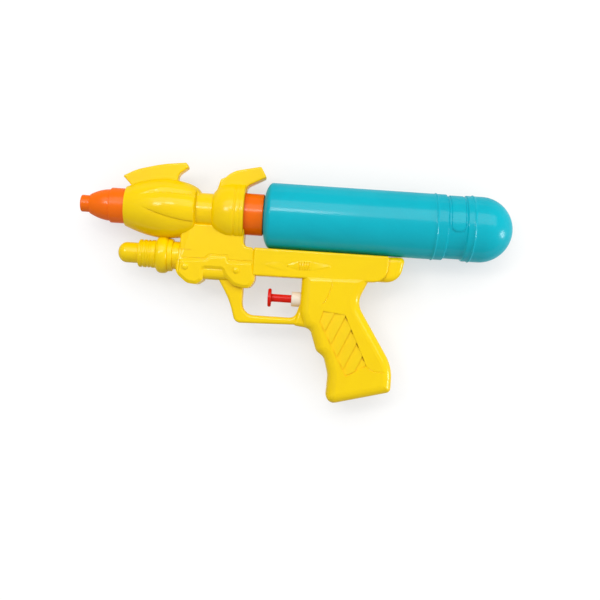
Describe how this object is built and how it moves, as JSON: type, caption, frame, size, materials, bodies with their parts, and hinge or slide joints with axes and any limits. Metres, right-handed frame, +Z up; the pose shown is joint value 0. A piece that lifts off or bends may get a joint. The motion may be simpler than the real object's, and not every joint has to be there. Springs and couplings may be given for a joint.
{
  "type": "toy water squirter",
  "caption": "Pump-action toy water pistol with a two-half body, finned nose, stepped nozzle, screw-on rear water tank and a spring-return push trigger.",
  "frame": {"origin": "middle of the hand grip, in the plane where the two body halves meet", "axes": "+X back along the barrel from nozzle to tank, +Y towards the right half of the body, +Z up"},
  "size_m": [0.3287, 0.051, 0.1744],
  "materials": {
    "yellow_body": "satin moulded plastic",
    "orange_caps": "satin moulded plastic",
    "teal_tank": "soft-gloss blow-moulded plastic",
    "red_trigger": "gloss moulded plastic",
    "white_pump": "natural moulded plastic",
    "clear_hose": "soft clear hose",
    "black_rubber": "moulded rubber",
    "steel": "bright zinc plated steel"
  },
  "bodies": {
    "body": {"left_shell": "yellow_body", "right_shell": "yellow_body", "nozzle": "orange_caps", "nozzle_jet": "white_pump", "tank_collar": "orange_caps", "jet_tube": "clear_hose", "feed_tube": "clear_hose", "dip_tube": "clear_hose", "pump_body": "white_pump", "pump_bush": "white_pump", "inlet_seat": "white_pump", "outlet_barb": "white_pump", "return_spring": "steel", "body_screw_1": "steel", "body_screw_2": "steel", "body_screw_3": "steel", "body_screw_4": "steel", "body_screw_5": "steel", "body_screw_6": "steel"},
    "trigger": {"trigger": "red_trigger", "piston": "white_pump", "piston_seal": "black_rubber"},
    "tank_seal": {"tank_gasket": "black_rubber"},
    "tank": {"tank": "teal_tank"},
    "inlet_ball": {"inlet_ball": "steel"},
    "outlet_ball": {"outlet_ball": "steel"}
  },
  "joints": [
    {"name": "trigger_pull", "type": "slide", "parent": "body", "child": "trigger", "axis": [1, 0, 0], "range_m": [0, 0.013], "stiffness_N_per_m": 150, "springref_m": -0.01, "deforming": ["return_spring"]},
    {"name": "tank_back", "type": "slide", "parent": "body", "child": "tank_seal", "axis": [1, 0, 0], "range_m": [0, 0.006]},
    {"name": "tank_turn", "type": "hinge", "parent": "tank_seal", "child": "tank", "pos_m": [0, 0, 0.0855], "axis": [1, 0, 0], "range_deg": [0, 720]},
    {"name": "inlet_ball_lift", "type": "slide", "parent": "body", "child": "inlet_ball", "axis": [0, 0, 1], "range_m": [0, 0.0012]},
    {"name": "outlet_ball_lift", "type": "slide", "parent": "body", "child": "outlet_ball", "axis": [0, 0, 1], "range_m": [0, 0.0012]}
  ],
  "couplings": [
    {"joint": "tank_back", "follows": "tank_turn", "m_per_rad": 0.00047746}
  ]
}
